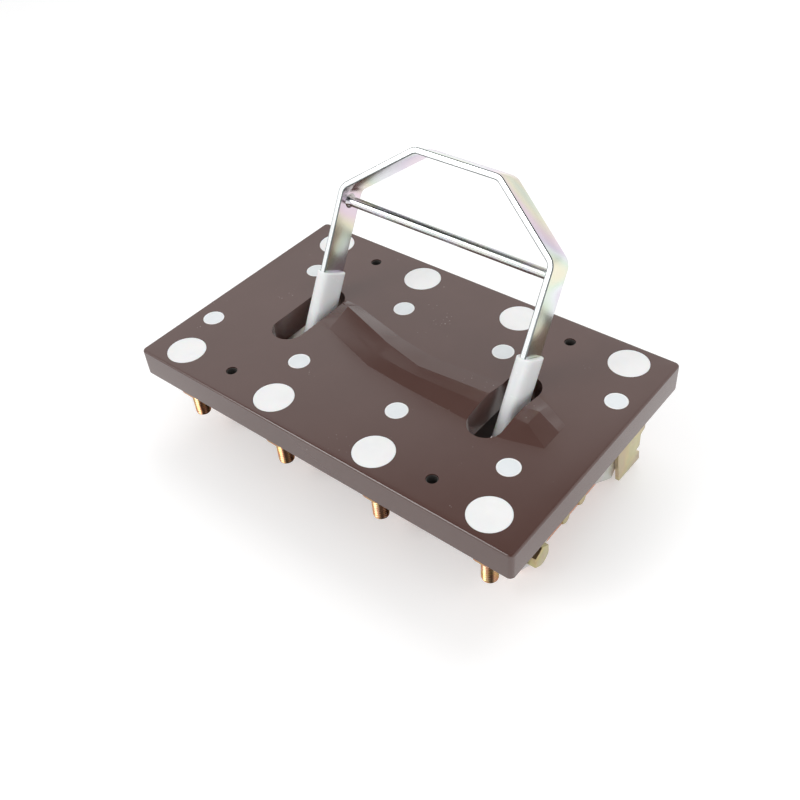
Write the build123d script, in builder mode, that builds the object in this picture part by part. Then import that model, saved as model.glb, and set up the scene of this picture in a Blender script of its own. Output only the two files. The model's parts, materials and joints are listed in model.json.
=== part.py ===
from build123d import *
import math
import os

# Knife switch of four poles behind a moulded cover plate, with a lifting bail in front.
# Frame: millimetres, +X along the row of poles, +Y towards the side the handle leans to,
# +Z out of the front face. The origin is the centre of the four plate bolts, in the
# plane of the cover plate's rear rim.

# Poles
pole_count = 4
pole_pitch = 60.0
terminal_row = 55.4
fixing_row = 30.0
fixing_shift = 8.0

# Cover plate
plate_end_margin = 19.5
plate_side_margin = 12.85
plate_length = (pole_count - 1) * pole_pitch + 2 * plate_end_margin
plate_depth = 2 * (terminal_row + plate_side_margin)
plate_height = 14.0
face_thickness = 4.5
skirt_thickness = 4.0
plate_corner = 2.5
plate_edge = 1.2
plate_bolt_x = 60.0
plate_bolt_y = 53.5
plate_bolt_hole = 2.75
plate_bolt_boss = 6.0
terminal_boss = 12.5
fixing_boss = 8.0
collar_wall = 2.5
collar_drop = 9.5

# Poured recesses over the bolt heads and screws
terminal_recess = 9.7
terminal_recess_depth = 6.5
fixing_recess = 5.4
fixing_recess_depth = 3.0
pour_gap = 0.05
pour_sink = 0.3

# Terminal studs and contacts
stud_radius = 4.0
thread_radius = 3.9
stud_reach = 27.0
shank_below_bar = 0.6
stud_head_flats = 13.0
stud_head_height = 5.3
stud_play = 0.1
bar_thickness = 3.0
bar_width = 17.0
bar_outer_end = 64.0
bar_inner_end = 24.0
leaf_thickness = 4.0
leaf_height = 13.0
leaf_outer_end = 47.0
leaf_inner_end = 26.0
leaf_stem = 7.0

# Rotor: shaft, carriers and knife blades
axis_depth = 30.0
shaft_radius = 5.0
shaft_past_pole = 2.5
shaft_end = (pole_count - 1) * pole_pitch / 2 + shaft_past_pole
blade_thickness = 3.0
blade_height = 13.0
blade_reach = 38.0
blade_slide_gap = 0.3
carrier_height = 19.0
carrier_length = 34.0
shaft_play = 0.05

# Handle: bail of flat strip, round crossbar, sleeves and levers
lean = 29.1
bail_offset = 10.4
strip_width = 15.0
strip_thickness = 3.0
bail_half_span = 61.0
bail_top_half = 23.5
bail_shoulder = 65.0
bail_top = 93.7
bail_bend = 6.0
bail_foot = -33.0
crossbar_radius = 2.5
crossbar_place = 58.8
sleeve_thickness = 8.4
sleeve_width = 16.8
sleeve_top = 22.0
sleeve_foot = -18.0
sleeve_wall_gap = 0.1
sleeve_corner = 2.0
lever_thickness = 3.0
lever_hub = 11.0
lever_end = 7.0
lever_joint = -26.0

# Handle slots, one round each leg
slot_centre = bail_half_span - strip_thickness / 2
slot_width = 17.4
slot_length = 46.2

# Bearing brackets, side plates and spring brackets
bearing_gap = 14.0
bearing_place = bail_half_span + bearing_gap
bracket_thickness = 3.0
bearing_width = 30.0
foot_length = 12.0
side_past_pole = 8.5
side_place = (pole_count - 1) * pole_pitch / 2 + side_past_pole
side_thickness = 2.0
side_foot_width = 28.0
side_foot_length = 12.0
side_bolt = (-37.5, -20.7)
side_bolt_hole = 3.2

# Outlines of the side plate and of the spring bracket bolted to its far end, in Y and Z
side_outline = [
    (-14.0, 0.0),
    (14.0, 0.0),
    (14.0, -6.0),
    (36.0, -8.0),
    (36.0, -22.0),
    (28.7, -33.4),
    (10.4, -21.6),
    (-26.0, -21.0),
    (-31.0, -27.0),
    (-39.4, -27.2),
    (-47.4, -22.6),
    (-47.4, -8.0),
    (-14.0, -6.0),
]
spring_outline = [
    (29.0, -6.0),
    (29.4, -20.0),
    (32.8, -37.6),
    (52.5, -38.8),
    (51.6, -33.0),
    (47.4, -29.8),
    (51.1, -28.8),
    (50.9, -21.4),
    (54.1, -20.0),
    (56.0, -6.0),
]

# The arched ridge moulded on the front face, one row for each section along X:
# place along X, near foot, crease and its height, crest and its height, far foot.
ridge_sections = [
    (-50.0, -1.2, 5.0, 0.5, 14.5, 1.0, 19.0),
    (-42.5, -3.4, 4.2, 2.2, 11.3, 4.5, 19.0),
    (-8.8, -13.9, -7.0, 1.7, 1.8, 2.6, 11.0),
    (13.3, -15.7, -8.4, 1.9, -2.8, 2.4, 8.0),
    (69.5, -18.1, -6.0, 1.9, 2.0, 2.2, 13.0),
    (75.5, -16.4, -6.3, 2.4, 3.0, 2.4, 10.7),
    (88.0, -12.7, -12.3, 0.1, -1.0, 0.1, 4.1),
]
ridge_root = 1.0

half_length = plate_length / 2
half_depth = plate_depth / 2
poles = [(i - (pole_count - 1) / 2) * pole_pitch for i in range(pole_count)]
sides = {"near": -1, "far": 1}
leg_x = bail_half_span - strip_thickness / 2
boss_depth = plate_height - face_thickness
side_pad = side_place + side_thickness - side_foot_length / 2
terminals = [(x, s * terminal_row) for x in poles for s in (-1, 1)]
fixings = [(x + s * fixing_shift, s * fixing_row) for x in poles for s in (-1, 1)]

os.makedirs("parts", exist_ok=True)


def save(builder, name):
    builder.part.label = name
    export_step(builder.part, f"parts/{name}.step")


# The handle's own plane: x along the bail's width, y up the legs from the front face.
lean_angle = math.radians(lean)
handle_plane = Plane(
    origin=(
        0,
        bail_offset * math.cos(lean_angle),
        plate_height - bail_offset * math.sin(lean_angle),
    ),
    x_dir=(1, 0, 0),
    z_dir=(0, -math.cos(lean_angle), math.sin(lean_angle)),
)


def ridge_profile(near, crease, crease_z, crest, crest_z, far):
    """Outline of one ridge section above and just below the front face."""
    return [
        (near, -ridge_root),
        (near, 0),
        (crease, crease_z),
        (crest, crest_z),
        (far, 0),
        (far, -ridge_root),
    ]


# Cover plate
with BuildPart() as cover_plate:
    with BuildSketch():
        RectangleRounded(plate_length, plate_depth, plate_corner)
    extrude(amount=plate_height)
    fillet(cover_plate.faces().sort_by(Axis.Z)[-1].edges(), plate_edge)
    with BuildSketch():
        Rectangle(plate_length - 2 * skirt_thickness, plate_depth - 2 * skirt_thickness)
    extrude(amount=boss_depth, mode=Mode.SUBTRACT)
    with BuildSketch():
        with Locations(*terminals):
            Circle(terminal_boss)
        with Locations(*fixings):
            Circle(fixing_boss)
        with GridLocations(2 * plate_bolt_x, 2 * plate_bolt_y, 2, 2):
            Circle(plate_bolt_boss)
        for x in (-bearing_place, bearing_place):
            with Locations((x, 0)):
                Rectangle(foot_length, bearing_width)
        for x in (-side_pad, side_pad):
            with Locations((x, 0)):
                Rectangle(side_foot_length, side_foot_width)
        Rectangle(plate_length, plate_depth, mode=Mode.INTERSECT)
    extrude(amount=boss_depth)
    with BuildSketch(Plane.XY.offset(boss_depth - collar_drop)):
        with Locations((-slot_centre, 0), (slot_centre, 0)):
            SlotOverall(
                slot_length + 2 * collar_wall, slot_width + 2 * collar_wall, rotation=90
            )
    extrude(amount=collar_drop)
    for first, last in zip(ridge_sections, ridge_sections[1:]):
        with BuildPart(mode=Mode.PRIVATE) as ridge_span:
            for place, *shape in (first, last):
                section_plane = Plane(
                    origin=(place, 0, plate_height), x_dir=(0, 1, 0), z_dir=(1, 0, 0)
                )
                with BuildSketch(section_plane):
                    Polygon(*ridge_profile(*shape), align=None)
            loft(ruled=True)
        add(ridge_span.part)
    with BuildSketch():
        with Locations((-slot_centre, 0), (slot_centre, 0)):
            SlotOverall(slot_length, slot_width, rotation=90)
        with GridLocations(2 * plate_bolt_x, 2 * plate_bolt_y, 2, 2):
            Circle(plate_bolt_hole)
        with Locations(*terminals):
            Circle(stud_radius + stud_play)
    extrude(amount=2 * plate_height, mode=Mode.SUBTRACT)
    with BuildSketch(Plane.XY.offset(plate_height)):
        with Locations(*terminals):
            Circle(terminal_recess)
    extrude(amount=-terminal_recess_depth, mode=Mode.SUBTRACT)
    with BuildSketch(Plane.XY.offset(plate_height)):
        with Locations(*fixings):
            Circle(fixing_recess)
    extrude(amount=-fixing_recess_depth, mode=Mode.SUBTRACT)
save(cover_plate, "cover_plate")


# Terminal studs: bolts whose heads sit in the recesses, and the compound poured over them
head_floor = plate_height - terminal_recess_depth
shank_end = -bar_thickness - shank_below_bar
for side, s in sides.items():
    for i, x in enumerate(poles, start=1):
        with BuildPart() as terminal_stud:
            with BuildSketch(Plane.XY.offset(head_floor)):
                with Locations((x, s * terminal_row)):
                    RegularPolygon(stud_head_flats / 2, 6, major_radius=False)
            extrude(amount=stud_head_height)
            with BuildSketch(Plane.XY.offset(shank_end)):
                with Locations((x, s * terminal_row)):
                    Circle(stud_radius)
            extrude(amount=head_floor - shank_end)
            with BuildSketch(Plane.XY.offset(-stud_reach)):
                with Locations((x, s * terminal_row)):
                    Circle(thread_radius)
            extrude(amount=stud_reach + shank_end)
            tip = terminal_stud.faces().sort_by(Axis.Z)[0]
            chamfer(tip.edges(), thread_radius / 6)
        save(terminal_stud, f"terminal_stud_{side}_{i}")

        with BuildPart() as bolt_cap:
            with BuildSketch(Plane.XY.offset(head_floor)):
                with Locations((x, s * terminal_row)):
                    Circle(terminal_recess - pour_gap)
            extrude(amount=terminal_recess_depth - pour_sink)
            with BuildSketch(Plane.XY.offset(head_floor)):
                with Locations((x, s * terminal_row)):
                    RegularPolygon(stud_head_flats / 2, 6, major_radius=False)
            extrude(amount=stud_head_height, mode=Mode.SUBTRACT)
        save(bolt_cap, f"bolt_cap_{side}_{i}")

    with BuildPart() as screw_caps:
        with BuildSketch(Plane.XY.offset(plate_height - fixing_recess_depth)):
            with Locations(*[(x + s * fixing_shift, s * fixing_row) for x in poles]):
                Circle(fixing_recess - pour_gap)
        extrude(amount=fixing_recess_depth - pour_sink)
    save(screw_caps, f"screw_caps_{side}")


# Fixed contacts: a flat bar under the bosses with an upright leaf for the blades
def contact_bar(side):
    """Plan of the bar, with its inner end widened towards the fixing screw."""
    outer = side * bar_outer_end
    inner = side * bar_inner_end
    knee = side * (fixing_row + fixing_boss)
    wide = side * (fixing_shift + bar_width / 3)
    half = side * bar_width / 2
    return [
        (-half, outer),
        (half, outer),
        (half, knee),
        (wide, knee - side * (wide * side - half * side)),
        (wide, inner),
        (-half, inner),
    ]


def hanging_leaf():
    """Leaf that the blades leave downwards: it hangs straight from the bar."""
    low = -axis_depth - leaf_height / 2
    return [
        (-leaf_outer_end + leaf_stem, 0),
        (-leaf_inner_end, 0),
        (-leaf_inner_end, low),
        (-leaf_outer_end + leaf_stem, low),
    ]


def hooked_leaf():
    """Leaf that the blades leave upwards: a stem outside their sweep carries it."""
    low = -axis_depth - leaf_height / 2
    high = -axis_depth + leaf_height / 2
    return [
        (leaf_outer_end, 0),
        (leaf_outer_end, low),
        (leaf_inner_end, low),
        (leaf_inner_end, high),
        (leaf_outer_end - leaf_stem, high),
        (leaf_outer_end - leaf_stem, 0),
    ]


for side, s in sides.items():
    for i, x in enumerate(poles, start=1):
        with BuildPart() as contact:
            with BuildSketch(Plane(origin=(x, 0, -bar_thickness))):
                Polygon(*contact_bar(s), align=None)
            extrude(amount=bar_thickness)
            leaf_plane = Plane(
                origin=(x - leaf_thickness / 2, 0, -bar_thickness / 2),
                x_dir=(0, 1, 0),
                z_dir=(1, 0, 0),
            )
            with BuildSketch(leaf_plane):
                Polygon(*(hanging_leaf() if s < 0 else hooked_leaf()), align=None)
            extrude(amount=leaf_thickness)
            with BuildSketch(Plane.XY.offset(-bar_thickness)):
                with Locations((x, s * terminal_row)):
                    Circle(stud_radius + stud_play)
            extrude(amount=bar_thickness, mode=Mode.SUBTRACT)
        save(contact, f"contact_{side}_{i}")


# Rotor: one shaft through four insulating carriers with a blade on each face
rotor_plane = Plane(origin=(0, 0, -axis_depth), x_dir=(0, 1, 0), z_dir=(1, 0, 0))

with BuildPart() as shaft:
    with BuildSketch(rotor_plane):
        Circle(shaft_radius)
    extrude(amount=shaft_end, both=True)
save(shaft, "shaft")

carrier_thickness = leaf_thickness + 2 * blade_slide_gap
for i, x in enumerate(poles, start=1):
    with BuildPart() as blade_carrier:
        with BuildSketch(rotor_plane.offset(x)):
            SlotOverall(carrier_length, carrier_height)
            Circle(shaft_radius, mode=Mode.SUBTRACT)
        extrude(amount=carrier_thickness / 2, both=True)
    save(blade_carrier, f"blade_carrier_{i}")

    for name, s in (("left", -1), ("right", 1)):
        inner_face = x + s * carrier_thickness / 2
        with BuildPart() as blade:
            with BuildSketch(rotor_plane.offset(inner_face)):
                Rectangle(2 * blade_reach, blade_height)
                Circle(shaft_radius, mode=Mode.SUBTRACT)
            extrude(amount=s * blade_thickness)
        save(blade, f"blade_{i}_{name}")


# Bearing brackets between the outer poles and the handle legs
for name, s in (("left", -1), ("right", 1)):
    with BuildPart() as bearing_bracket:
        with BuildSketch(Plane(origin=(s * bearing_place, 0, 0), x_dir=(0, 1, 0), z_dir=(1, 0, 0))):
            with BuildLine():
                Polyline(
                    (-bearing_width / 2, 0),
                    (bearing_width / 2, 0),
                    (shaft_radius + bracket_thickness, -axis_depth),
                )
                RadiusArc(
                    (shaft_radius + bracket_thickness, -axis_depth),
                    (-shaft_radius - bracket_thickness, -axis_depth),
                    shaft_radius + bracket_thickness,
                )
                Line((-shaft_radius - bracket_thickness, -axis_depth), (-bearing_width / 2, 0))
            make_face()
            with Locations((0, -axis_depth)):
                Circle(shaft_radius + shaft_play, mode=Mode.SUBTRACT)
        extrude(amount=bracket_thickness / 2, both=True)
        with BuildSketch(Plane.XY.offset(-bracket_thickness)):
            with Locations((s * bearing_place, 0)):
                Rectangle(foot_length, bearing_width)
        extrude(amount=bracket_thickness)
    save(bearing_bracket, f"bearing_bracket_{name}")


# Side plates outside the end poles, each with a spring bracket on its far end
for name, s in (("left", -1), ("right", 1)):
    web_plane = Plane(origin=(s * side_place, 0, 0), x_dir=(0, 1, 0), z_dir=(1, 0, 0))
    with BuildPart() as side_plate:
        with BuildSketch(web_plane):
            Polygon(*side_outline, align=None)
            with Locations(side_bolt):
                Circle(side_bolt_hole, mode=Mode.SUBTRACT)
        extrude(amount=s * side_thickness)
        with BuildSketch(Plane.XY.offset(-side_thickness)):
            with Locations((s * side_pad, 0)):
                Rectangle(side_foot_length, side_foot_width)
        extrude(amount=side_thickness)
    save(side_plate, f"side_plate_{name}")

    with BuildPart() as spring_bracket:
        with BuildSketch(web_plane.offset(s * side_thickness)):
            Polygon(*spring_outline, align=None)
        extrude(amount=s * side_thickness)
    save(spring_bracket, f"spring_bracket_{name}")


# Handle
def handle_face(x):
    """The plane of a leg's broad face, with its own y up the leg."""
    return Plane(
        origin=handle_plane.origin + Vector(x, 0, 0),
        x_dir=(0, math.cos(lean_angle), -math.sin(lean_angle)),
        z_dir=(1, 0, 0),
    )


with BuildPart() as handle_bail:
    with BuildSketch(handle_plane):
        with BuildLine():
            FilletPolyline(
                (-leg_x, bail_foot),
                (-leg_x, bail_shoulder),
                (-bail_top_half, bail_top - strip_thickness / 2),
                (bail_top_half, bail_top - strip_thickness / 2),
                (leg_x, bail_shoulder),
                (leg_x, bail_foot),
                radius=bail_bend,
            )
            offset(amount=strip_thickness / 2, side=Side.BOTH, closed=True)
        make_face()
    extrude(amount=strip_width / 2, both=True)
save(handle_bail, "handle_bail")

with BuildPart() as handle_crossbar:
    with BuildSketch(handle_face(0)):
        with Locations((0, crossbar_place)):
            Circle(crossbar_radius)
    extrude(amount=leg_x - strip_thickness / 2, both=True)
save(handle_crossbar, "handle_crossbar")

for name, s in (("left", -1), ("right", 1)):
    with BuildPart() as leg_sleeve:
        with BuildSketch(handle_face(s * leg_x)):
            with Locations((0, (sleeve_top + sleeve_foot) / 2)):
                Rectangle(sleeve_width, sleeve_top - sleeve_foot)
        extrude(amount=sleeve_thickness / 2, both=True)
        upright = leg_sleeve.edges().filter_by(Axis.X)
        chamfer(upright, sleeve_corner / 2)
        with BuildSketch(handle_face(s * leg_x)):
            with Locations((0, (sleeve_top + sleeve_foot) / 2)):
                Rectangle(strip_width + 2 * sleeve_wall_gap, sleeve_top - sleeve_foot)
        extrude(
            amount=strip_thickness / 2 + sleeve_wall_gap, both=True, mode=Mode.SUBTRACT
        )
    save(leg_sleeve, f"leg_sleeve_{name}")

    joint_y = handle_plane.origin.Y + lever_joint * math.sin(lean_angle)
    joint_z = handle_plane.origin.Z + lever_joint * math.cos(lean_angle)
    with BuildPart() as leg_lever:
        with BuildSketch(rotor_plane.offset(s * bail_half_span)):
            Circle(lever_hub)
            with Locations((joint_y, joint_z + axis_depth)):
                Circle(lever_end)
            make_hull()
            Circle(shaft_radius, mode=Mode.SUBTRACT)
        extrude(amount=s * lever_thickness)
    save(leg_lever, f"leg_lever_{name}")
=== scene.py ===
# %% [markdown]
# # Knife switch with a bail handle
# The model under this script is a four-pole knife switch. A dark brown moulding covers it,
# white compound is poured over its bolt heads, and a bail of bright strip leans out of two
# slots. The CAD solids come in as a fixed frame. This lesson dresses them: it keeps those
# whose shape is right, builds finer pieces where the real thing is finer, and makes every
# finish out of shader nodes.

# %% Load the frame
import json
import math

import bpy
import numpy as np
from mathutils import Matrix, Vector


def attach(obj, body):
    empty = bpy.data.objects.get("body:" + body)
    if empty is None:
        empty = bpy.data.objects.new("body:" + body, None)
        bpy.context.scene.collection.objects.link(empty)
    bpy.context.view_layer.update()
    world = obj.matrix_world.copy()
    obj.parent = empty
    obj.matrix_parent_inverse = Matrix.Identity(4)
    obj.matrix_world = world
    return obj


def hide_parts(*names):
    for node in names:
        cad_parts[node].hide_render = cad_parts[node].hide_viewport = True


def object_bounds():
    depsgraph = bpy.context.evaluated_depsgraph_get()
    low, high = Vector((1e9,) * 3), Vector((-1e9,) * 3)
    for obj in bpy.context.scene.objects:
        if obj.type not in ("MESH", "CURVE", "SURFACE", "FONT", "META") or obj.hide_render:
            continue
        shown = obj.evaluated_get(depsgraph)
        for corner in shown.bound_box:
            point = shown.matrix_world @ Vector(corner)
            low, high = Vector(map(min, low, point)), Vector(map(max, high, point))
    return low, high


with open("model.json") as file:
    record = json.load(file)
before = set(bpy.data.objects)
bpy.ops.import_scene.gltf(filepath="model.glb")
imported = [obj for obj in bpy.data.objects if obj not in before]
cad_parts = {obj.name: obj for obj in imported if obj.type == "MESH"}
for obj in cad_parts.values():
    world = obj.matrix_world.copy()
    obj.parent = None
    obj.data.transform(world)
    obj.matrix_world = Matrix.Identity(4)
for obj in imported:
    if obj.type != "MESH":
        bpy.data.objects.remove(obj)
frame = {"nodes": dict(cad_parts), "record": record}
nodes = frame["nodes"]
cad_low, cad_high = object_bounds()
mm = 0.001
print("solids", len(nodes), "box in mm", [round(v / mm, 1) for v in cad_high - cad_low])

# %% [markdown]
# The camera stands in front of the long near edge and to its right, and looks down at about
# forty degrees with a slight roll. It is placed from those angles and a distance, measured
# from the middle of the plate's face.

# %% Camera
face_height = 14.0
face_centre = np.array([0.0, 0.0, face_height]) * mm
turn, climb, roll = math.radians(42.70), math.radians(42.53), math.radians(-5.47)
back = np.array([math.sin(turn) * math.cos(climb), -math.cos(turn) * math.cos(climb), math.sin(climb)])
level_right = np.array([math.cos(turn), math.sin(turn), 0.0])
level_up = np.cross(back, level_right)
right = math.cos(roll) * level_right + math.sin(roll) * level_up
up = np.cross(back, right)

lens = bpy.data.cameras.new("photo_camera")
lens.sensor_width = 36.0
lens.lens = 42.85
lens.clip_start, lens.clip_end = 0.01, 20.0
camera = bpy.data.objects.new("photo_camera", lens)
bpy.context.scene.collection.objects.link(camera)
aside, above, distance = -0.24, -20.7, 450.8
stand = face_centre + right * aside * mm + up * above * mm + back * distance * mm
pose = np.eye(4)
pose[:3, 0], pose[:3, 1], pose[:3, 2], pose[:3, 3] = right, up, back, stand
camera.matrix_world = Matrix(pose.tolist())
bpy.context.scene.camera = camera
bpy.context.scene.view_settings.view_transform = "Standard"
print("camera at, in mm", np.round(stand / mm, 1))

# %% [markdown]
# Every new piece is a surface worked out with numpy. A grid of points, rows by columns,
# becomes quads. A closed column runs round a piece, and a ring at each end can be capped.
# These helpers turn such grids into meshes and hang them on a moving or a fixed body.

# %% Mesh helpers
def grid_faces(rows, columns, wrap_columns=True):
    """Quads of a rows x columns grid: corner (i, j) joins (i, j+1), (i+1, j+1) and (i+1, j)."""
    i = np.arange(rows - 1)[:, None]
    j = np.arange(columns if wrap_columns else columns - 1)[None, :]
    next_j = (j + 1) % columns
    quads = [i * columns + j, i * columns + next_j, (i + 1) * columns + next_j, (i + 1) * columns + j]
    return np.stack(quads, -1).reshape(-1, 4)


def put(name, points, faces, body, material, replaces=(), flat=35.0):
    """Makes a mesh of points in mm and of face lists, wound as they come, creases it where it turns by
    more than flat degrees, and rides it on a body."""
    mesh = bpy.data.meshes.new(name)
    places = (np.asarray(points, float).reshape(-1, 3) * mm).tolist()
    mesh.from_pydata(places, [], [list(map(int, face)) for face in faces])
    mesh.validate()
    mesh.polygons.foreach_set("use_smooth", [True] * len(mesh.polygons))
    piece = bpy.data.objects.new(name, mesh)
    bpy.context.scene.collection.objects.link(piece)
    mesh.materials.append(material)
    mesh.set_sharp_from_angle(angle=math.radians(flat))
    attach(piece, body)
    if replaces:
        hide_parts(*replaces)
    return piece


def tube_of(rings, caps=True):
    """Points and faces of a stack of rings (rows, columns, 3), with an end cap on the first and last."""
    rings = np.asarray(rings, float)
    rows, columns = rings.shape[:2]
    faces = [list(face) for face in grid_faces(rows, columns)]
    if caps:
        faces.append(list(range(columns))[::-1])
        faces.append([(rows - 1) * columns + k for k in range(columns)])
    return rings.reshape(-1, 3), faces


def joined(shapes):
    """Several (points, faces) shapes as one: face numbers are moved past the points before them."""
    points, faces, start = [], [], 0
    for some_points, some_faces in shapes:
        points.append(np.asarray(some_points, float))
        faces += [[k + start for k in face] for face in some_faces]
        start += len(some_points)
    return np.concatenate(points), faces


print("mesh helpers ready")

# %% [markdown]
# The rod, bolts, nuts, washers and bushes are turned pieces. Blender's Spin could make them,
# but a profile of radii carried round an axis is one array, and a hexagon is the same with
# each circle cut back to six flats.

# %% Lathe
# A turned end narrows to a ring of this radius in mm, and is left open there
tiny_ring = 0.01


def lathe(centre, axis, profile, around=48, radius_of=None):
    """Rings about an axis: profile rows are (distance along the axis, radius), and
    radius_of(angle, radius) may bend the circle into another outline, such as a hexagon."""
    axis = np.asarray(axis, float) / np.linalg.norm(axis)
    side = np.cross(axis, [0.0, 0.0, 1.0] if abs(axis[2]) < 0.9 else [1.0, 0.0, 0.0])
    side /= np.linalg.norm(side)
    other = np.cross(axis, side)
    angle = np.arange(around) * 2 * np.pi / around
    along, radius = np.asarray(profile, float).T
    r = np.repeat(radius[:, None], around, 1)
    if radius_of is not None:
        r = radius_of(angle[None, :], r)
    circle = np.cos(angle)[:, None] * side + np.sin(angle)[:, None] * other
    rings = np.asarray(centre, float) + along[:, None, None] * axis + r[:, :, None] * circle[None]
    return rings


def hexagon(flats):
    """A radius function: the distance to a hexagon of that width across its flats, where the
    profile's radius doesn't come first. A chamfered head is the smaller of the two at each height."""
    def radius_of(angle, radius):
        sector = (angle + np.pi / 6) % (np.pi / 3) - np.pi / 6
        return np.minimum(flats / 2 / np.cos(sector), radius)
    return radius_of


print("lathe ready")

# %% [markdown]
# Finishes share a few effects, so each effect is a node group with named inputs, and each
# material uses it with its own values. "Cloud" gives slow and fine changes of tone,
# "Specks" gives the pale dust and chips that sit on the moulding, and "Rainbow film"
# gives the colours of a passivated zinc coat, where the film's thickness drifts.

# %% Node group helpers
def new_group(name, inputs, outputs):
    """An empty shader node group with float inputs {name: default} and outputs {name: socket type}."""
    group = bpy.data.node_groups.new(name, "ShaderNodeTree")
    for label, value in inputs.items():
        socket = group.interface.new_socket(label, in_out="INPUT", socket_type="NodeSocketFloat")
        socket.default_value = value
    for label, kind in outputs.items():
        group.interface.new_socket(label, in_out="OUTPUT", socket_type=kind)
    return group, group.nodes.new("NodeGroupInput"), group.nodes.new("NodeGroupOutput")


def add(tree, kind, values=None, **settings):
    """A node of that kind, with its settings and the default values of its input sockets."""
    node = tree.nodes.new(kind)
    for key, value in settings.items():
        setattr(node, key, value)
    for key, value in (values or {}).items():
        node.inputs[key].default_value = value
    return node


def math_node(tree, operation, a, b):
    """A Math node; a and b are numbers or output sockets."""
    node = add(tree, "ShaderNodeMath", operation=operation)
    for k, v in enumerate((a, b)):
        if isinstance(v, (int, float)):
            node.inputs[k].default_value = v
        else:
            tree.links.new(v, node.inputs[k])
    return node.outputs[0]


def fill_ramp(node, stops):
    """Gives a Color Ramp node its stops, each a position and a colour."""
    elements = node.color_ramp.elements
    while len(elements) < len(stops):
        elements.new(0.5)
    for element, (position, color) in zip(elements, stops):
        element.position, element.color = position, color


print("group helpers ready")

# %% [markdown]
# No real finish is one even tone. Cloud is two noise textures: the slow one mixes a finish's
# two tones, and the fine one wavers its roughness and makes its relief.

# %% Cloud: slow and fine changes of tone
cloud, given, result = new_group("Cloud", {"Size": 40.0, "Fine": 900.0},
                                 {"Slow": "NodeSocketFloat", "Fine": "NodeSocketFloat"})
place = add(cloud, "ShaderNodeTexCoord")
slow = add(cloud, "ShaderNodeTexNoise", {"Detail": 3.0, "Roughness": 0.55})
fine = add(cloud, "ShaderNodeTexNoise", {"Detail": 2.0, "Roughness": 0.6})
for texture, size, label in ((slow, "Size", "Slow"), (fine, "Fine", "Fine")):
    cloud.links.new(place.outputs["Object"], texture.inputs["Vector"])
    cloud.links.new(given.outputs[size], texture.inputs["Scale"])
    cloud.links.new(texture.outputs[0], result.inputs[label])
print("cloud nodes", len(cloud.nodes))

# %% [markdown]
# The moulding carries dust and tiny chips. They could be modelled one by one, but a cell
# pattern is enough: a speck sits at the middle of a few cells, drawn by each cell's random
# colour, in patches that a slow noise gives. The pattern's place is bent a little, so that
# no speck is a perfectly round dot.

# %% Specks: dust and tiny chips, few and pale
specks, given, result = new_group("Specks", {"Scale": 1500.0, "Share": 0.3}, {"Mask": "NodeSocketFloat"})
place = add(specks, "ShaderNodeTexCoord")
bend = add(specks, "ShaderNodeTexNoise", {"Scale": 420.0, "Detail": 2.0})
bent_place = add(specks, "ShaderNodeMix", {"Factor": 0.0016}, data_type="VECTOR")
cells = add(specks, "ShaderNodeTexVoronoi", {"Randomness": 1.0})
patch = add(specks, "ShaderNodeTexNoise", {"Scale": 46.0, "Detail": 3.0, "Roughness": 0.7})
lot = add(specks, "ShaderNodeSeparateColor")
specks.links.new(place.outputs["Object"], bend.inputs["Vector"])
specks.links.new(place.outputs["Object"], bent_place.inputs["A"])
specks.links.new(bend.outputs["Color"], bent_place.inputs["B"])
specks.links.new(bent_place.outputs["Result"], cells.inputs["Vector"])
specks.links.new(place.outputs["Object"], patch.inputs["Vector"])
specks.links.new(given.outputs["Scale"], cells.inputs["Scale"])
specks.links.new(cells.outputs["Color"], lot.inputs[0])
# Each cell of the pattern has a random colour, and only a cell whose red passes the draw holds a speck
least_draw = 0.93
near = math_node(specks, "LESS_THAN", cells.outputs["Distance"], given.outputs["Share"])
drawn = math_node(specks, "GREATER_THAN", lot.outputs[0], least_draw)
where = add(specks, "ShaderNodeMapRange", {"From Min": 0.60, "From Max": 0.72})
specks.links.new(patch.outputs[0], where.inputs["Value"])
grain = math_node(specks, "MULTIPLY", near, drawn)
specks.links.new(math_node(specks, "MULTIPLY", grain, where.outputs[0]), result.inputs["Mask"])
print("speck nodes", len(specks.nodes))

# %% [markdown]
# A passivated zinc coat shows faint colours, because light interferes in a film whose
# thickness drifts. A noise stands for the thickness. It is multiplied and wrapped, so that
# the colours come round again, and a ramp whose ends match turns it into them.

# %% Rainbow film: the drifting colours of passivated zinc
film, given, result = new_group("Rainbow film", {"Scale": 30.0, "Stretch": 4.0}, {"Color": "NodeSocketColor"})
place = add(film, "ShaderNodeTexCoord")
drift = add(film, "ShaderNodeTexNoise", {"Detail": 2.0, "Roughness": 0.5, "Distortion": 0.6})
film.links.new(place.outputs["Object"], drift.inputs["Vector"])
film.links.new(given.outputs["Scale"], drift.inputs["Scale"])
turned = math_node(film, "MULTIPLY", drift.outputs[0], given.outputs["Stretch"])
hue = math_node(film, "FRACT", turned, 0.0)
ramp = add(film, "ShaderNodeValToRGB")
stops = [(0.0, (0.95, 0.76, 0.84, 1)), (0.25, (0.99, 0.94, 0.70, 1)), (0.42, (0.82, 0.94, 0.78, 1)),
         (0.6, (0.92, 0.96, 0.98, 1)), (0.8, (0.85, 0.74, 0.90, 1)), (1.0, (0.95, 0.76, 0.84, 1))]
fill_ramp(ramp, stops)
film.links.new(hue, ramp.inputs[0])
film.links.new(ramp.outputs[0], result.inputs["Color"])
print("film nodes", len(film.nodes))

# %% [markdown]
# Each material is one Principled BSDF. A helper builds it, lets one effect vary its colour
# between two tones, another its roughness, and gives it a bump far smaller than a
# millimetre. Numbers that are the same all over are set on the shader's own sockets.

# %% Material helper
def group_node(tree, group, **values):
    """One of the shared groups as a node, with its own input values."""
    node = add(tree, "ShaderNodeGroup", node_tree=group)
    for key, value in values.items():
        node.inputs[key].default_value = value
    return node


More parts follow.
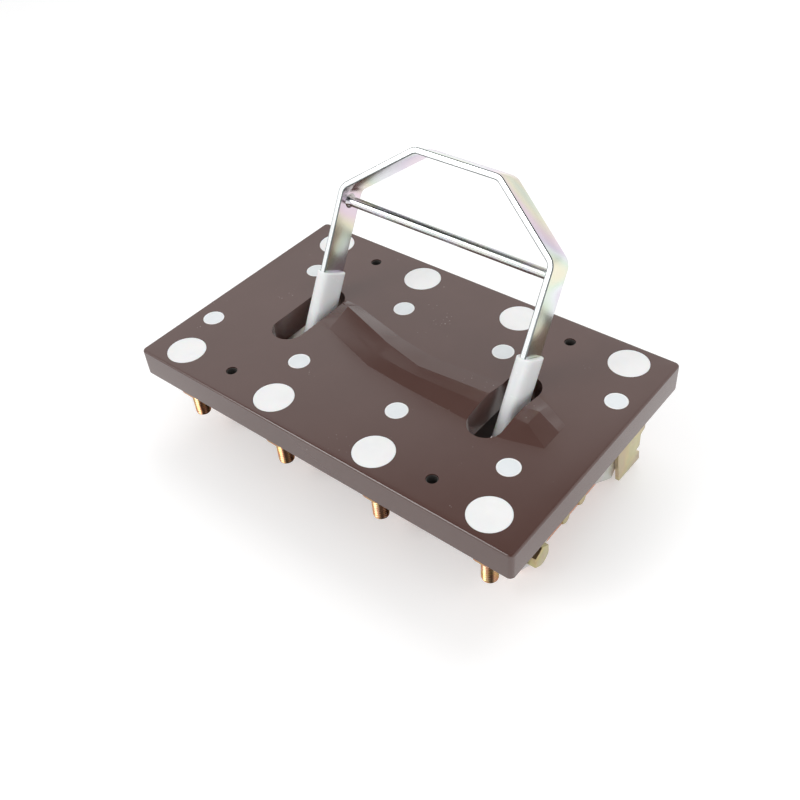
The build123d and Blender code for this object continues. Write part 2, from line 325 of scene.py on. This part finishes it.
def finish(name, dark, light, roughness, metallic=0.0, size=40.0, fine=900.0, bump=0.0,
           speck=None, sheen_film=None, spread=0.04, extra=None):
    """One Principled BSDF: colour runs from dark to light with Cloud's slow tone, roughness wavers by
    spread, bump is a relief in mm, speck = (scale, share, colour) adds Specks, sheen_film = (scale,
    stretch, share) adds Rainbow film, and extra holds values of other sockets."""
    material = bpy.data.materials.new(name)
    material.use_nodes = True
    tree = material.node_tree
    shader = tree.nodes["Principled BSDF"]
    shader.inputs["Metallic"].default_value = metallic
    for key, value in (extra or {}).items():
        shader.inputs[key].default_value = value
    tone = group_node(tree, cloud, Size=size, Fine=fine)
    mix = add(tree, "ShaderNodeMix", data_type="RGBA")
    mix.inputs["A"].default_value, mix.inputs["B"].default_value = (*dark, 1), (*light, 1)
    tree.links.new(tone.outputs["Slow"], mix.inputs["Factor"])
    color = mix.outputs["Result"]
    if sheen_film:
        scale, stretch, share = sheen_film
        colours = group_node(tree, film, Scale=scale, Stretch=stretch)
        over = add(tree, "ShaderNodeMix", data_type="RGBA", blend_type="MULTIPLY")
        over.inputs["Factor"].default_value = share
        tree.links.new(color, over.inputs["A"])
        tree.links.new(colours.outputs["Color"], over.inputs["B"])
        color = over.outputs["Result"]
    if speck:
        scale, share, pale = speck
        dots = group_node(tree, specks, Scale=scale, Share=share)
        over = add(tree, "ShaderNodeMix", data_type="RGBA")
        over.inputs["B"].default_value = (*pale, 1)
        tree.links.new(dots.outputs["Mask"], over.inputs["Factor"])
        tree.links.new(color, over.inputs["A"])
        color = over.outputs["Result"]
    tree.links.new(color, shader.inputs["Base Color"])
    wander = add(tree, "ShaderNodeMapRange", {"To Min": roughness - spread, "To Max": roughness + spread})
    tree.links.new(tone.outputs["Fine"], wander.inputs["Value"])
    tree.links.new(wander.outputs[0], shader.inputs["Roughness"])
    if bump:
        relief = add(tree, "ShaderNodeBump", {"Distance": bump * mm, "Strength": 1.0})
        tree.links.new(tone.outputs["Fine"], relief.inputs["Height"])
        tree.links.new(relief.outputs[0], shader.inputs["Normal"])
    return material


print("material helper ready")

# %% [markdown]
# The moulding is a dark brown resin with a hard gloss, and the compound poured into it is
# white. The metal parts differ in their coat: a clear one with faint colours on the bail and
# its rod, an olive one on the sheets at the ends, and a yellow, nearly coppery one on the
# terminal bolts. A finish is given by the two tones between which Cloud moves, and a
# roughness.

# %% Finishes of this switch
brown = finish("brown moulding", (0.074, 0.034, 0.027), (0.094, 0.047, 0.039), 0.20, size=34, fine=700,
               speck=(1100, 0.34, (0.34, 0.29, 0.27)), spread=0.03, extra={"Specular IOR Level": 0.88})
white = finish("poured compound", (0.80, 0.80, 0.80), (0.88, 0.88, 0.88), 0.38, size=120, fine=500,
               bump=0.02, extra={"Subsurface Weight": 0.1, "Subsurface Scale": 0.002})
# Painted shade: the face of a small cap is a darker bluish white than its white rim
painted_shade_caps = finish("small poured caps, painted shade", (0.70, 0.74, 0.76), (0.80, 0.83, 0.85), 0.34,
                    size=200, fine=600, bump=0.02)
soft_white = finish("insulating sleeve", (0.88, 0.90, 0.91), (0.91, 0.93, 0.94), 0.26,
                    size=90, fine=400, bump=0.01,
                    extra={"Subsurface Weight": 0.12, "Subsurface Scale": 0.002})
bright = finish("bright zinc", (0.76, 0.76, 0.77), (0.88, 0.88, 0.88), 0.23, 1.0, size=60, fine=500,
                sheen_film=(15, 3.4, 0.9), spread=0.02)
# Painted highlight: the bail's cut edges are a paler zinc than its broad sides, to stand for the thin lines
# of light along them
painted_highlight_edge = finish("strip edge, painted highlight", (0.86, 0.89, 0.90), (0.93, 0.95, 0.95), 0.18, 1.0,
                     size=60, fine=500, spread=0.02)
# Painted shade: the bail's rounded corners are near black, to draw dark lines along the strip's edges
painted_shade_corner = finish("strip corner, painted shade", (0.16, 0.18, 0.18), (0.30, 0.33, 0.33), 0.30, 1.0,
                     size=90, fine=500)
rod_zinc = finish("rod zinc", (0.66, 0.70, 0.72), (0.82, 0.85, 0.87), 0.20, 1.0, size=120, fine=500,
                  spread=0.02, sheen_film=(60, 4.0, 0.4))
yellow = finish("yellow zinc", (0.48, 0.24, 0.11), (0.70, 0.48, 0.27), 0.24, 1.0, size=130, fine=900,
                bump=0.006, sheen_film=(110, 5.0, 0.9))
green_zinc = finish("olive zinc sheet", (0.44, 0.38, 0.20), (0.66, 0.58, 0.36), 0.30, 1.0,
                    size=90, fine=900, sheen_film=(60, 2.4, 0.5), spread=0.02)
copper = finish("contact copper", (0.62, 0.27, 0.15), (0.86, 0.46, 0.30), 0.28, 1.0,
                size=90, fine=900, bump=0.008)
steel = finish("zinc sheet", (0.52, 0.53, 0.50), (0.68, 0.69, 0.66), 0.32, 1.0, size=90, fine=700,
               bump=0.006, sheen_film=(70, 4.0, 0.35))
# Painted shade: the moulding inside the slots, darkened nearly to black as the shade there, and made rougher
# and less glossy
painted_shade_moulding = finish("moulding in painted shade", (0.022, 0.014, 0.012), (0.034, 0.021, 0.018), 0.7,
                      size=60, fine=700, extra={"Specular IOR Level": 0.2})
laminate = finish("laminated board", (0.16, 0.06, 0.035), (0.24, 0.10, 0.06), 0.5,
                  size=300, fine=1200, bump=0.02)
# Painted shade: the bushes are grey metal, painted near black as the shade deep in the plate holes
painted_shade_bush = finish("bush", (0.035, 0.032, 0.030), (0.08, 0.075, 0.07), 0.45, 0.3, size=300, fine=900)
print("materials", len(bpy.data.materials))

# %% [markdown]
# The CAD nodes whose shape is right stay as they are. Their meshes are loose triangles, so
# a Weld modifier joins them, and a small Bevel rounds the edges that catch the light on the
# real pieces. The solid's own points aren't touched. The cover plate gets no Bevel and a low
# crease angle, so that the flat faces of its ridge stay crisp.

# %% Dress the CAD nodes
def dress(name, material, edge=0.0, angle=32.0):
    """Gives a CAD node its material, welds its triangles, rounds its edges by edge mm, and creases it
    where it turns by more than angle degrees."""
    node = nodes[name]
    node.data.materials.clear()
    node.data.materials.append(material)
    node.data.polygons.foreach_set("use_smooth", [True] * len(node.data.polygons))
    weld = node.modifiers.new("weld", "WELD")
    weld.merge_threshold = 1e-6
    if edge:
        bevel = node.modifiers.new("edges", "BEVEL")
        bevel.width = edge * mm
        bevel.segments = 2
        bevel.limit_method = "ANGLE"
        bevel.angle_limit = math.radians(angle)
        bevel.harden_normals = False
    split = node.modifiers.new("creases", "EDGE_SPLIT")
    split.split_angle = math.radians(angle)


slots_of = {s["node"]: s["material_slot"] for s in frame["record"]["subparts"]}
material_of = {"cover": brown, "yellow_zinc": yellow, "contact_metal": copper, "bare_steel": steel,
               "bright_zinc": bright, "carrier": laminate, "sleeve": soft_white, "poured_cap": white}
edge_round = 0.25
cover_crease = 6.0
for name in nodes:
    if name != "cover_plate":
        dress(name, material_of[slots_of[name]], edge_round)
dress("cover_plate", material_of["cover"], angle=cover_crease)
for side in ("left", "right"):
    nodes[f"spring_bracket_{side}"].data.materials[0] = green_zinc
print("dressed", len(nodes))

# %% [markdown]
# The bail is one length of flat strip bent at four corners. It could be a swept curve, but
# the strip's rounded edges catch two thin lines of light, so its outline matters. A rounded
# rectangle is carried along the bent line, with each corner of the line an arc.

# %% The handle's own plane
lean = math.radians(29.1)
# Across the strip, its middle lies this far from the middle of the plate's face, towards the far edge
set_back = 10.4
handle_root = np.array([0.0, set_back * math.cos(lean), face_height - set_back * math.sin(lean)])
along_leg = np.array([0.0, math.sin(lean), math.cos(lean)])
across_strip = np.array([0.0, -math.cos(lean), math.sin(lean)])
along_bar = np.array([1.0, 0.0, 0.0])


def in_handle(x, r, n=0.0):
    """The point x along the bar, r up the leg and n towards the near face, each in mm."""
    x, r, n = np.broadcast_arrays(np.asarray(x, float), r, n)
    return handle_root + x[..., None] * along_bar + r[..., None] * along_leg + n[..., None] * across_strip


print("handle root in mm", np.round(handle_root, 2))

# %% [markdown]
# Two outlines have rounded corners: the line that the bail follows, and the section of its
# strip. A Bevel modifier could round them, but arcs worked out here keep the number of each
# column known, so the painted highlight on the cut edges and the painted shade on the
# rounded corners can then be given by it.

# %% Rounded outlines
def rounded_line(corners, radius, steps=10):
    """Points of a line through corners, with each inner corner replaced by an arc of that radius:
    the arc starts radius * tan(half the turn) before the corner, and its centre is on the bisector."""
    corners = np.asarray(corners, float)
    points = [corners[:1]]
    for before, corner, after in zip(corners, corners[1:], corners[2:]):
        a, b = before - corner, after - corner
        a, b = a / np.linalg.norm(a), b / np.linalg.norm(b)
        half = math.acos(np.clip(a @ b, -1, 1)) / 2
        centre = corner + (a + b) / np.linalg.norm(a + b) * radius / math.sin(half)
        reach = radius / math.tan(half)
        u, v = corner + a * reach - centre, corner + b * reach - centre
        sweep = math.acos(np.clip(u @ v / radius ** 2, -1, 1))
        t = np.linspace(0, 1, steps + 1)[:, None]
        points.append(centre + (np.sin((1 - t) * sweep) * u + np.sin(t * sweep) * v) / math.sin(sweep))
    points.append(corners[-1:])
    return np.concatenate(points)


def rounded_box(width, height, radius, steps=5):
    """Outline of a width x height rectangle with rounded corners, as (points, 2), anticlockwise."""
    t = np.linspace(0, np.pi / 2, steps + 1)
    arc = np.stack([np.cos(t), np.sin(t)], 1) * radius
    quarter = [(width / 2 - radius, height / 2 - radius, 0), (radius - width / 2, height / 2 - radius, 1),
               (radius - width / 2, radius - height / 2, 2), (width / 2 - radius, radius - height / 2, 3)]
    out = []
    for cx, cy, turns in quarter:
        c, s = math.cos(turns * np.pi / 2), math.sin(turns * np.pi / 2)
        out.append(np.stack([cx + c * arc[:, 0] - s * arc[:, 1], cy + s * arc[:, 0] + c * arc[:, 1]], 1))
    return np.concatenate(out)


print("rounded outlines ready")

# %% [markdown]
# The bail's line runs up the left leg, over the top and down the right leg. Its right half is
# the left half mirrored.

# %% Line of the bail
strip_thick, strip_wide, strip_rounding = 3.0, 15.0, 0.5
bail_half_span = 61.0
leg_x = bail_half_span - strip_thick / 2
leg_foot, shoulder = -33, 65
top_half, bail_top = 23.5, 92.2
bend_radius = 6.0
left_half = [(-leg_x, leg_foot), (-leg_x, shoulder), (-top_half, bail_top)]
right_half = [(-x, r) for x, r in left_half[::-1]]
bent = rounded_line(left_half + right_half, bend_radius)
print("bail line points", len(bent))

# %% Bail
def ribbon(line, width, thick, radius):
    """Rings of a strip along a plane line: at each point the outline's height is laid along the line's
    normal, and its width across the strip."""
    step = np.gradient(line, axis=0)
    step /= np.linalg.norm(step, axis=1)[:, None]
    normal = np.stack([-step[:, 1], step[:, 0]], 1)
    outline = rounded_box(width, thick, radius)
    x = line[:, 0][:, None] + normal[:, 0][:, None] * outline[None, :, 1]
    r = line[:, 1][:, None] + normal[:, 1][:, None] * outline[None, :, 1]
    n = np.broadcast_to(outline[None, :, 0], x.shape)
    return in_handle(x, r, n)


points, faces = tube_of(ribbon(bent, strip_wide, strip_thick, strip_rounding))
bail = put("bail", points, faces, "rotor", bright, ["handle_bail"], flat=50)
# The bail's second material is the painted highlight of its cut edges
bail.data.materials.append(painted_highlight_edge)
# Its third is the painted shade of its rounded corners
bail.data.materials.append(painted_shade_corner)
# Each quarter of the outline has five faces round its corner and then a straight one, so faces 5 and
# 17 are the strip's broad sides, and 11 and 23 its cut edges
# The broad sides keep the bright zinc, the cut edges take the painted highlight, and the rounded corners the
# painted shade
around_strip, per_quarter, cut_edges = 24, 6, (11, 23)
column = np.arange((len(bent) - 1) * around_strip) % around_strip
on_corner = column % per_quarter != per_quarter - 1
zinc_or_painted_light_of_face = np.isin(column, cut_edges).astype(np.int32) + 2 * on_corner.astype(np.int32)
material_index = np.zeros(len(bail.data.polygons), np.int32)
material_index[:len(zinc_or_painted_light_of_face)] = zinc_or_painted_light_of_face
bail.data.polygons.foreach_set("material_index", material_index)
print("bail faces", len(bail.data.polygons), "on the cut edges", int((zinc_or_painted_light_of_face == 1).sum()))

# %% [markdown]
# The crossbar is a rod welded between the legs. Its ends flare into small weld fillets, so
# it is turned on a lathe: a profile of radii along its axis.

# %% Crossbar
bar_up_leg = 58.8
inner = leg_x - strip_thick / 2
fillet = np.array([[0.0, 3.7], [0.5, 3.3], [1.2, 2.8], [2.2, 2.5]])
flare = fillet + [-inner, 0.0]
profile = np.concatenate([[[-inner, tiny_ring]], flare, flare[::-1] * [-1, 1], [[inner, tiny_ring]]])
rings = lathe(in_handle(0, bar_up_leg), along_bar, profile, around=40)
points, faces = tube_of(rings, caps=False)
put("crossbar", points, faces, "rotor", rod_zinc, ["handle_crossbar"], flat=60)
print("crossbar rings", len(rings))

# %% [markdown]
# Each leg wears an insulating sleeve over the strip. Its section is a superellipse, which
# stays flat along the strip's broad sides and turns softly round its edges. The top is cut
# flat, and the rings there turn in to the strip.

# %% Sleeves
sleeve_half_wide, sleeve_half_thick = 8.35, 4.15
sleeve_foot, sleeve_top = -17.9, 22.0


def sleeve_rings(x_leg):
    """Rings up the sleeve. The section is the superellipse |n / 8.35|^4 + |x / 4.15|^2.8 = 1. The top is
    cut flat, its outer edge broken by 0.2 mm, and it turns in to the strip and down beside it."""
    t = np.arange(64) * 2 * np.pi / 64
    n = sleeve_half_wide * np.sign(np.cos(t)) * np.abs(np.cos(t)) ** 0.5
    x = sleeve_half_thick * np.sign(np.sin(t)) * np.abs(np.sin(t)) ** 0.72
    at_top = [21.9, sleeve_top, sleeve_top, 20.5]
    heights = np.concatenate([[sleeve_foot], np.linspace(-17.0, 21.5, 24), at_top])
    grow_n = np.concatenate([[0.97], np.ones(24), [0.99, 0.975, 0.925, 0.915]])
    grow_x = np.concatenate([[0.93], np.ones(24), [0.98, 0.95, 0.42, 0.40]])
    return in_handle(x_leg + grow_x[:, None] * x[None, :], heights[:, None], grow_n[:, None] * n[None, :])


for side, s in (("left", -1), ("right", 1)):
    rings = sleeve_rings(s * leg_x)
    points, faces = tube_of(rings)
    put(f"sleeve_{side}", points, faces, "rotor", soft_white, [f"leg_sleeve_{side}"], flat=60)
print("sleeve rings", rings.shape)

# %% [markdown]
# The white discs are compound poured into the recesses over the bolt heads. A poured face
# isn't a perfect circle: its rim creeps a little, and its middle stands up by about a tenth
# of a millimetre. Each disc is a polar grid with its own gentle wobble. The small discs'
# faces are painted shade, a darker bluish white, and their rim is the same white as the
# large ones.

# %% Poured caps
pole_pitch = 60.0
poles = (np.arange(4) - 1.5) * pole_pitch
terminal_row = 55.4
fixing_row, fixing_shift = 30, 8
cap_radius, cap_depth, cap_dome = 9.65, 6.0, 0.05
small_radius, small_depth, small_dome = 5.35, 2.9, 0.16
sunk = 0.22
around_cap = 72


def poured(x, y, radius, depth, seed, dome):
    """Polar grid from the middle to the rim and down the wall, open below: height = dome * (1 - (r/R)^2)
    plus a meniscus near the rim and a ripple, radius = R less a wobble of low waves."""
    t = np.arange(around_cap) * 2 * np.pi / around_cap
    waves = sum(np.sin(k * t + seed * (1.7 + k)) / k for k in (2, 3, 5, 7))
    rim = radius * (1 - 0.006 - 0.006 * (waves / 1.2 + 1) / 2)
    share = np.array([0.0, 0.2, 0.45, 0.7, 0.86, 0.94, 0.98, 1.0])
    height = dome * (1 - share ** 2) + 0.10 * np.clip((share - 0.86) / 0.14, 0, 1) ** 2
    z = np.concatenate([face_height - sunk + height, [face_height - depth]])
    r = np.concatenate([share, [1.0]])[:, None] * rim[None, :]
    ripple = 0.03 * np.sin(3 * t + seed)[None, :] * np.sin(np.pi * np.concatenate([share, [1.0]]))[:, None]
    rings = np.stack([x + r * np.cos(t), y + r * np.sin(t), z[:, None] + ripple], -1)
    return tube_of(rings[::-1], caps=False)


rows_of_faces, rim_rows = 8, 4
for side, s in (("near", -1), ("far", 1)):
    small = []
    for i, x in enumerate(poles, start=1):
        points, faces = poured(x, s * terminal_row, cap_radius, cap_depth, 1.3 * i + s, cap_dome)
        put(f"bolt_cap_{side}_{i}_face", points, faces, "base", white,
            [f"bolt_cap_{side}_{i}"], flat=70)
        small.append(poured(x + s * fixing_shift, s * fixing_row, small_radius, small_depth,
                            2.1 * i - s, small_dome))
    points, faces = joined(small)
    disc = put(f"screw_caps_{side}_face", points, faces, "base", painted_shade_caps,
               [f"screw_caps_{side}"], flat=70)
    disc.data.materials.append(white)
    # The inner rows of each small disc keep the painted shade; the rim rows and the wall are white
    row_of_face = np.arange(len(faces)) % (rows_of_faces * around_cap) // around_cap
    disc.data.polygons.foreach_set("material_index", (row_of_face < rim_rows).astype(np.int32))
print("poured caps", 4 * len(poles))

# %% [markdown]
# The terminal bolts end in a thread below the plate. A thread is a ramp wound round the
# bolt: the radius at each point depends on how far the height is along its pitch, less the
# share of a turn. The grid is fine along the bolt so that the crests stay crisp.

# %% Thread
def thread(x, y, top, bottom, outer, pitch=1.25, depth=0.68, around=28, per_pitch=8, chamfer=0.9):
    """Rings down a thread: radius = outer - depth * triangle(z / pitch - angle / turn), with a 45 degree
    chamfer at the free end and a plain neck at the top."""
    z = np.linspace(top, bottom, int((top - bottom) / pitch * per_pitch) + 1)
    t = np.arange(around) * 2 * np.pi / around
    phase = (z[:, None] / pitch - t[None, :] / (2 * np.pi)) % 1.0
    ramp = np.abs(2 * phase - 1)
    cut = depth * np.clip((top - z[:, None]) / pitch, 0, 1)
    r = outer - cut * (1 - ramp)
    r = np.minimum(r, outer - chamfer + (z[:, None] - bottom))
    rings = np.stack([x + r * np.cos(t), y + r * np.sin(t), np.broadcast_to(z[:, None], r.shape)], -1)
    return tube_of(rings[::-1])


print("thread ready")

# %% [markdown]
# A head or a nut is a hexagon whose outer corners are turned off in a cone. Pins and washers
# are plain rounds.

# %% Heads, pins and washers
def hex_head(centre, axis, flats, height, lip=0.10):
    """A hexagon head or nut: the hexagon's outline, rounded off by a cone at its outer face."""
    corner = flats / 2 / math.cos(math.pi / 6)
    rise = corner - flats / 2
    profile = [(0.0, tiny_ring), (0.0, flats / 2 * 0.98), (lip, corner + 0.1),
               (height - rise * 0.55, corner + 0.1), (height - rise * 0.28, corner - rise * 0.35),
               (height, flats / 2 * 0.96), (height, tiny_ring)]
    return tube_of(lathe(centre, axis, profile, around=60, radius_of=hexagon(flats)), caps=False)


def pin(centre, axis, low, high, radius):
    """A plain round pin: out from the axis to the radius, along it, and back to the axis."""
    profile = [(low, tiny_ring), (low, radius), (high, radius), (high, tiny_ring)]
    return tube_of(lathe(centre, axis, profile, around=28), caps=False)


def washer(centre, axis, bore, rim, thick):
    """A washer's two flat faces and its rim; the nut and the bolt hide its bore, which has no wall."""
    profile = [(0, bore), (0, rim), (thick, rim), (thick, bore)]
    return tube_of(lathe(centre, axis, profile, around=40), caps=False)


print("heads, pins and washers ready")

# %% [markdown]
# Each terminal stud is a threaded end, a plain shank and a head sunk in the plate, joined as
# one piece. A nut and a washer sit below the contact bar, as a piece of their own.

# %% Terminal studs and nuts
upwards, downwards = (0, 0, 1), (0, 0, -1)
thread_top, thread_end, thread_radius = -3.4, -27.0, 3.9
shank_low, shank_high, shank_radius = -3.6, 7.4, 4.0
head_seat, head_flats, head_height = 7.5, 12.9, 5.2
washer_seat, washer_bore, washer_rim, washer_thick = -3.1, 4.3, 8.0, 1.5
nut_seat, nut_flats, nut_height = -5.0, 13.0, 6.5
stud_count = 0
for side, s in (("near", -1), ("far", 1)):
    y = s * terminal_row
    for i, x in enumerate(poles, start=1):
        ridges = thread(x, y, thread_top, thread_end, thread_radius)
        shank = pin((x, y, 0), upwards, shank_low, shank_high, shank_radius)
        head = hex_head((x, y, head_seat), upwards, head_flats, head_height)
        points, faces = joined([ridges, shank, head])
        put(f"stud_{side}_{i}", points, faces, "base", yellow,
            [f"terminal_stud_{side}_{i}"], flat=28)
        nut = hex_head((x, y, nut_seat), downwards, nut_flats, nut_height)
        ring = washer((x, y, washer_seat), downwards, washer_bore, washer_rim, washer_thick)
        points, faces = joined([nut, ring])
        put(f"stud_nut_{side}_{i}", points, faces, "base", yellow, flat=28)
        stud_count += 1
print("studs", stud_count)

# %% [markdown]
# Small fasteners show along the right edge: two screw heads on the outer blade, and one
# larger hexagon bolt near the corner. The same heads are put on the other end of the switch.

# %% Bolts at the ends
blade_seat, blade_screw_row, hinge_height = 95.25, 7.0, -30.0
blade_screw_flats, blade_screw_height = 5.5, 2.6
corner_y, corner_z = -37.5, -20.7
corner_seat, corner_flats, corner_height = 100.5, 10.0, 4.0
corner_pin_start, corner_pin_length, corner_pin_radius = 92.5, 9.0, 2.9
for side, s in (("left", -1), ("right", 1)):
    outwards = (s, 0, 0)
    for row, y in (("near", -blade_screw_row), ("far", blade_screw_row)):
        points, faces = hex_head((s * blade_seat, y, hinge_height), outwards,
                                 blade_screw_flats, blade_screw_height)
        put(f"blade_bolt_{side}_{row}", points, faces, "rotor", green_zinc, flat=28)
    head = hex_head((s * corner_seat, corner_y, corner_z), outwards, corner_flats, corner_height)
    body = pin((s * corner_pin_start, corner_y, corner_z), outwards, 0, corner_pin_length, corner_pin_radius)
    points, faces = joined([head, body])
    put(f"corner_bolt_{side}", points, faces, "base", green_zinc, flat=28)
print("end bolts ready")

# %% [markdown]
# The four plate holes are lined with metal bushes that stop just under the face. Their colour
# is painted shade, near black as deep in the holes. A bush is a short tube, turned on the
# same lathe as the rod.

# %% Plate bushes
bush_column, bush_row = 60, 53.5
bush_places = [(x, y) for y in (-bush_row, bush_row) for x in (-bush_column, bush_column)]
profile = [(0.2, 2.7), (13.3, 2.7), (13.5, 2.55), (13.4, 2.3), (12.9, 2.15), (0.2, 2.15), (0.2, 2.7)]
for i, (x, y) in enumerate(bush_places, start=1):
    points, faces = tube_of(lathe((x, y, 0), upwards, profile, around=40), caps=False)
    # The bushes wear the metal in painted shade
    put(f"plate_bush_{i}", points, faces, "base", painted_shade_bush, flat=40)
print("bushes", len(bush_places))

# %% [markdown]
# Inside each slot the moulding runs on down as a wall, which hides the works beside it. Its
# colour is painted shade: the moulding, darkened as the deep slot shades it.
# It follows the inner half of the slot, because the bearing's foot lies under the outer half.
# In plan it is half a stadium: a straight run between two quarter circles.

# %% Slot walls
def slot_wall(x_slot, s, inner=8.7, wall=1.6, half_run=14.4, top=0.1, bottom=-12.0, steps=9):
    """A wall round the slot's inner half: an inner and an outer path, each at the top and the bottom."""
    t = np.linspace(0, np.pi / 2, steps)
    far_quarter = np.stack([-np.sin(t), half_run + np.cos(t)], 1)
    near_quarter = np.stack([-np.cos(t), -half_run - np.sin(t)], 1)
    corners = np.concatenate([far_quarter, near_quarter])
    centre = np.repeat([[0, half_run], [0, -half_run]], steps, 0)
    away = corners - centre
    loops = []
    for radius, z in ((inner, top), (inner, bottom), (inner + wall, bottom), (inner + wall, top)):
        plan = centre + away * radius
        loops.append(np.stack([x_slot + s * plan[:, 0], plan[:, 1], np.full(len(plan), z)], 1))
    return tube_of(np.stack(loops, 1))


for side, s in (("left", -1), ("right", 1)):
    points, faces = slot_wall(s * leg_x, s)
    # The right wall is the left one mirrored, so its faces are wound the other way
    if s > 0:
        faces = [face[::-1] for face in faces]
    # The slot walls wear the moulding in painted shade
    put(f"slot_wall_{side}", points, faces, "base", painted_shade_moulding, flat=40)
print("slot walls", 2)

# %% [markdown]
# The floor is a flat pale sheet just under the switch, and keeps its shadow. It glows a
# little to the camera and to gloss, so that it comes out nearly white.

# %% Floor
floor_gap, floor_half = 0.3, 6.0
rows, columns = 60, 3
level = (cad_low[2] / mm - floor_gap) * mm
across = np.linspace(-floor_half, floor_half, columns)
along = floor_half * np.linspace(-1.0, 1.0, rows)
grid = np.stack(np.broadcast_arrays(across[None, :], along[:, None], level), -1)
mesh = bpy.data.meshes.new("floor")
upward_faces = grid_faces(rows, columns, wrap_columns=False)[:, ::-1]
mesh.from_pydata(grid.reshape(-1, 3).tolist(), [], upward_faces.tolist())
floor = bpy.data.objects.new("floor", mesh)
bpy.context.scene.collection.objects.link(floor)
print("floor at mm", round(level / mm, 2))

# %% Floor paper
paper = bpy.data.materials.new("floor paper")
paper.use_nodes = True
tree = paper.node_tree
shader = tree.nodes["Principled BSDF"]
shader.inputs["Base Color"].default_value = (0.80, 0.80, 0.80, 1)
shader.inputs["Roughness"].default_value = 0.9
shader.inputs["Specular IOR Level"].default_value = 0.0
floor_glow = 0.31
path = add(tree, "ShaderNodeLightPath")
glow = add(tree, "ShaderNodeEmission", {"Color": (1, 1, 1, 1)})
seen = math_node(tree, "MAXIMUM", path.outputs["Is Camera Ray"], path.outputs["Is Glossy Ray"])
tree.links.new(math_node(tree, "MULTIPLY", seen, floor_glow), glow.inputs["Strength"])
both = add(tree, "ShaderNodeAddShader")
tree.links.new(shader.outputs[0], both.inputs[0])
tree.links.new(glow.outputs[0], both.inputs[1])
tree.links.new(both.outputs[0], tree.nodes["Material Output"].inputs["Surface"])
mesh.materials.append(paper)
print("floor paper nodes", len(tree.nodes))

# %% [markdown]
# Bright metal and polished resin show what stands round them, so to glossy rays the world
# is a studio whose brightness changes with height: white up to 15 degrees, dimmer at 22 to
# 27, white again from 32 to 44, and dark above 49. A dark patch round the camera's own
# direction keeps the faces that look at it deep. The camera sees plain white, and all other
# light from the world is even.

# %% World
world = bpy.data.worlds.new("studio")
bpy.context.scene.world = world
world.use_nodes = True
tree = world.node_tree
sky = tree.nodes["Background"]
path = add(tree, "ShaderNodeLightPath")
seen = math_node(tree, "MAXIMUM", path.outputs["Is Camera Ray"], path.outputs["Is Transmission Ray"])
sky.inputs["Color"].default_value = (1, 1, 1, 1)
place = add(tree, "ShaderNodeTexCoord")
split = add(tree, "ShaderNodeSeparateXYZ")
tree.links.new(place.outputs["Generated"], split.inputs[0])
shade = add(tree, "ShaderNodeValToRGB")
levels = [(0.0, 1.0), (0.26, 1.0), (0.38, 0.50), (0.46, 0.60), (0.53, 1.0), (0.69, 1.0),
          (0.757, 0.06), (1.0, 0.04)]
fill_ramp(shade, [(height, (strength,) * 3 + (1,)) for height, strength in levels])
tree.links.new(split.outputs["Z"], shade.inputs[0])
toward_front = add(tree, "ShaderNodeVectorMath", operation="DOT_PRODUCT")
toward_front.inputs[1].default_value = back.tolist()
tree.links.new(place.outputs["Generated"], toward_front.inputs[0])
# The patch fades between 33 and 18 degrees from the camera's direction, whose cosines these are
dark_front = add(tree, "ShaderNodeMapRange",
                 {"From Min": 0.84, "From Max": 0.95, "To Min": 1.0, "To Max": 0.10},
                 interpolation_type="SMOOTHSTEP")
tree.links.new(toward_front.outputs["Value"], dark_front.inputs["Value"])
even_light = 0.50
studio = math_node(tree, "MULTIPLY", shade.outputs[0], dark_front.outputs[0])
gloss = math_node(tree, "MULTIPLY", path.outputs["Is Glossy Ray"], studio)
not_gloss = math_node(tree, "SUBTRACT", 1.0, path.outputs["Is Glossy Ray"])
plain = math_node(tree, "MULTIPLY", not_gloss, even_light)
rest = math_node(tree, "MAXIMUM", math_node(tree, "MAXIMUM", seen, gloss), plain)
tree.links.new(rest, sky.inputs["Strength"])
print("world nodes", len(tree.nodes))

# %% [markdown]
# Three area lamps stand high behind the far edge, high in front on the left, and low on the
# right. Large squares give the shadow its soft edge. Only the one in front is mirrored, since
# the world already gives bright surfaces what they show.

# %% Lamps
def lamp(name, place, aim, size, power, in_gloss=False):
    """A square area lamp at place (mm) turned to aim (mm). Bright surfaces mirror it if in_gloss is set."""
    light = bpy.data.lights.new(name, "AREA")
    light.shape, light.size, light.energy = "SQUARE", size, power
    piece = bpy.data.objects.new(name, light)
    piece.visible_glossy = in_gloss
    bpy.context.scene.collection.objects.link(piece)
    place, aim = np.asarray(place, float) * mm, np.asarray(aim, float) * mm
    z = (place - aim) / np.linalg.norm(place - aim)
    x = np.cross([0.0, 0.0, 1.0] if abs(z[2]) < 0.99 else [0.0, 1.0, 0.0], z)
    x /= np.linalg.norm(x)
    pose = np.eye(4)
    pose[:3, 0], pose[:3, 1], pose[:3, 2], pose[:3, 3] = x, np.cross(z, x), z, place
    piece.matrix_world = Matrix(pose.tolist())


lamp("key", (-100, 620, 900), (0, 0, 0), 1.0, 4.6)
lamp("fill", (-500, -800, 700), (0, 0, 0), 0.6, 5.0, in_gloss=True)
lamp("side", (800, -150, 320), (0, 0, 20), 1.0, 3.8)
print("lamps", len(bpy.data.lights))
